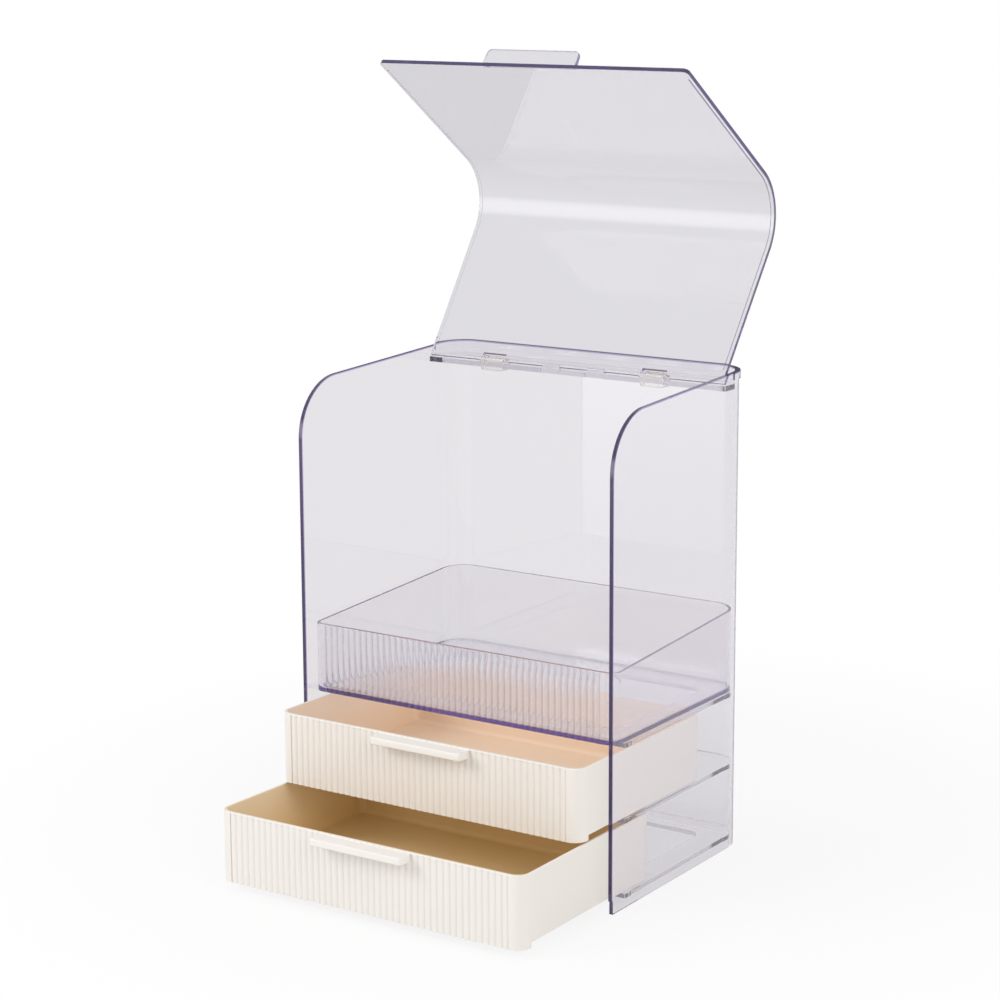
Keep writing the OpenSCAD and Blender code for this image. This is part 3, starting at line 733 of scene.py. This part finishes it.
casingLook = clearPlastic("casing_plastic", (0.982, 0.982, 0.98), edgeShaded=True)
shelfLook = clearPlastic("shelf_plastic", (0.98, 0.982, 0.972), deep=(0.63, 0.59, 0.68), density=26)
lidLook = clearPlastic("lid_plastic", (0.898, 0.898, 0.908))
handleLook = clearPlastic("lid_handle_plastic", (0.92, 0.918, 0.93), deep=(0.60, 0.55, 0.72), density=25)
clipLook = clearPlastic("clip_plastic", (0.975, 0.972, 0.96), deep=(0.82, 0.79, 0.72), density=25)
trayLook = clearPlastic("tray_plastic", (0.96, 0.955, 0.958), grooves=(ribCount(tray["gap"]), faceY / 1000))
barLook = creamPlastic("bar_plastic", cream["paler"], cream["base"], cream["barRough"])
print("looks done")

makeCasing(casingLook)
for shelfName, shelfZ in zip(("base_shelf", "middle_shelf", "top_shelf"), shelfBase):
    makeShelf(shelfName, shelfZ, shelfLook)
makeRail(shelfLook)
makeLid(lidLook)
makeLidHandle(handleLook)
makeTray(trayLook)
for drawerName, (drawerZ, drawerPull, within) in drawers.items():
    drawerLook = creamPlastic(drawerName + "_plastic", cream["base"], cream["warm"], cream["rough"],
                              (faceY - drawerPull) / 1000, drawerZ / 1000, within)
    makeDrawer(drawerName, drawerZ, drawerPull, drawerLook)
    makeBar(drawerName + "_handle", drawerZ, drawerPull, barLook)
for clipName in ("hinge_clip_left", "hinge_clip_right"):
    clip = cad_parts[clipName]
    clip.data.materials.clear()
    clip.data.materials.append(clipLook)
print("pieces done")

# lengths here are in metres
studio = {
    "floorSize": 8, "floorColour": 0.8, "backdrop": (0.835, 0.828, 0.84), "sky": 0.66,
    "mirrorSky": 0.95, "mirrorLow": 0.3, "mirrorColour": (0.93, 0.915, 0.975),
    "glow": 3.6, "glowFrom": (-0.52, -0.845, 0.09), "flag": 0.75, "flagFrom": (-0.5, 0.86, -0.1),
    "camera": (1.0980, -1.7471, 0.6861), "yaw": 33.878, "pitch": 11.996, "roll": -0.193,
    "lens": 97.48, "shift": (-0.0155, 0.0053), "lampAim": (0, -0.1, 0.2),
}


def rays(look):
    # rays from the camera, rays through clear plastic and mirror rays
    camera = look.node("LightPath", out=0)
    outputs = camera.socket.node.outputs
    return camera, Value(look, outputs["Is Transmission Ray"]), Value(look, outputs["Is Glossy Ray"])


def makeFloor():
    s = studio
    bm = bmesh.new()
    bmesh.ops.create_grid(bm, x_segments=1, y_segments=1, size=s["floorSize"])
    mesh = bpy.data.meshes.new("floor")
    bm.to_mesh(mesh)
    bm.free()
    look = Look(bpy.data.materials.new("floor_white"))
    seen, through = rays(look)[:2]
    place = look.node("TexCoord", out=3)
    away = look.node("VectorMath", {"operation": "LENGTH"}, {0: place}, out=1)
    matt = look.node("BsdfDiffuse", {}, {"Color": (s["floorColour"],) * 3 + (1,)})
    pale = mixColour(look, through, (1, 1, 1, 1), (*s["backdrop"], 1))
    glow = look.node("Emission", {}, {"Color": pale, "Strength": 1})
    seenWhite = smoothStep(look, away, 0.2, 0.6) * 0.15 + 0.85   # the rest keeps the shadow
    throughWhite = smoothStep(look, away, 0.1, 0.45) * 0.5 + 0.5
    amount = seen * seenWhite + through * throughWhite
    look.node("OutputMaterial", {}, {"Surface": look.node("MixShader", {}, {0: amount, 1: matt, 2: glow})})
    mesh.materials.append(look.owner)
    floor = bpy.data.objects.new("floor", mesh)
    floor.location.z = -0.0005
    floor.visible_glossy = False
    bpy.context.scene.collection.objects.link(floor)


def makeWorld():
    s = studio
    world = bpy.data.worlds.new("studio")
    bpy.context.scene.world = world
    look = Look(world)
    seen, through, mirrored = rays(look)
    direction = look.node("TexCoord", out=0)
    aim = Vector(s["glowFrom"]).normalized()
    towards = look.node("VectorMath", {"operation": "DOT_PRODUCT"}, {0: direction, 1: aim}, out=1)
    up = split(look, direction)[2]
    strength = smoothStep(look, up, -0.85, -0.25) * (s["mirrorSky"] - s["mirrorLow"]) + s["mirrorLow"]
    strength = strength + smoothStep(look, towards, 0.94, 1.0) * s["glow"]
    # a dark board behind, which draws the outlines of clear plastic
    aim = Vector(s["flagFrom"]).normalized()
    behind = look.node("VectorMath", {"operation": "DOT_PRODUCT"}, {0: direction, 1: aim}, out=1)
    strength = strength * (1 - smoothStep(look, behind, 0.72, 0.92) * s["flag"])
    plain = look.node("Background", {}, {"Color": (1, 1, 1, 1), "Strength": s["sky"]})
    pale = mixColour(look, through, (1, 1, 1, 1), (*s["backdrop"], 1))
    white = look.node("Background", {}, {"Color": pale, "Strength": 1})
    gloss = look.node("Background", {}, {"Color": (*s["mirrorColour"], 1), "Strength": strength})
    shown = look.node("MixShader", {}, {0: mirrored, 1: plain, 2: gloss})
    shown = look.node("MixShader", {}, {0: seen.atLeast(through), 1: shown, 2: white})
    look.node("OutputWorld", {}, {"Surface": shown})


def makeLamp(name, place, size, power, colour=(1, 1, 1)):
    data = bpy.data.lights.new(name, "AREA")
    data.shape = "RECTANGLE"
    data.size, data.size_y = size
    data.energy = power
    data.color = colour
    lamp = bpy.data.objects.new(name, data)
    lamp.location = place
    lamp.rotation_euler = (Vector(studio["lampAim"]) - Vector(place)).to_track_quat("-Z", "Y").to_euler()
    bpy.context.scene.collection.objects.link(lamp)
    lamp.visible_camera = False
    lamp.visible_glossy = False
    lamp.visible_transmission = False


def makeCamera():
    s = studio
    data = bpy.data.cameras.new("camera")
    data.lens = s["lens"]
    data.sensor_width = 36
    data.shift_x, data.shift_y = s["shift"]
    data.clip_end = 50
    camera = bpy.data.objects.new("camera", data)
    turn = Matrix.Rotation(radians(s["yaw"]), 4, "Z") @ Matrix.Rotation(radians(90 - s["pitch"]), 4, "X")
    camera.matrix_world = Matrix.Translation(s["camera"]) @ turn @ Matrix.Rotation(radians(s["roll"]), 4, "Z")
    bpy.context.scene.collection.objects.link(camera)
    bpy.context.scene.camera = camera


makeFloor()
makeWorld()
makeCamera()
makeLamp("key_lamp", (-1.5, -1.9, 1.5), (1.2, 1.2), 26)
makeLamp("fill_lamp", (1.9, -0.9, 1.2), (1.2, 1.6), 14, (1, 0.965, 0.93))

scene = bpy.context.scene
scene.view_settings.view_transform = "Standard"
scene.cycles.use_denoising = True
scene.cycles.max_bounces = 80
scene.cycles.transmission_bounces = 24
scene.cycles.glossy_bounces = 64
scene.cycles.transparent_max_bounces = 48
scene.cycles.diffuse_bounces = 5

bpy.context.view_layer.update()
print("studio done")
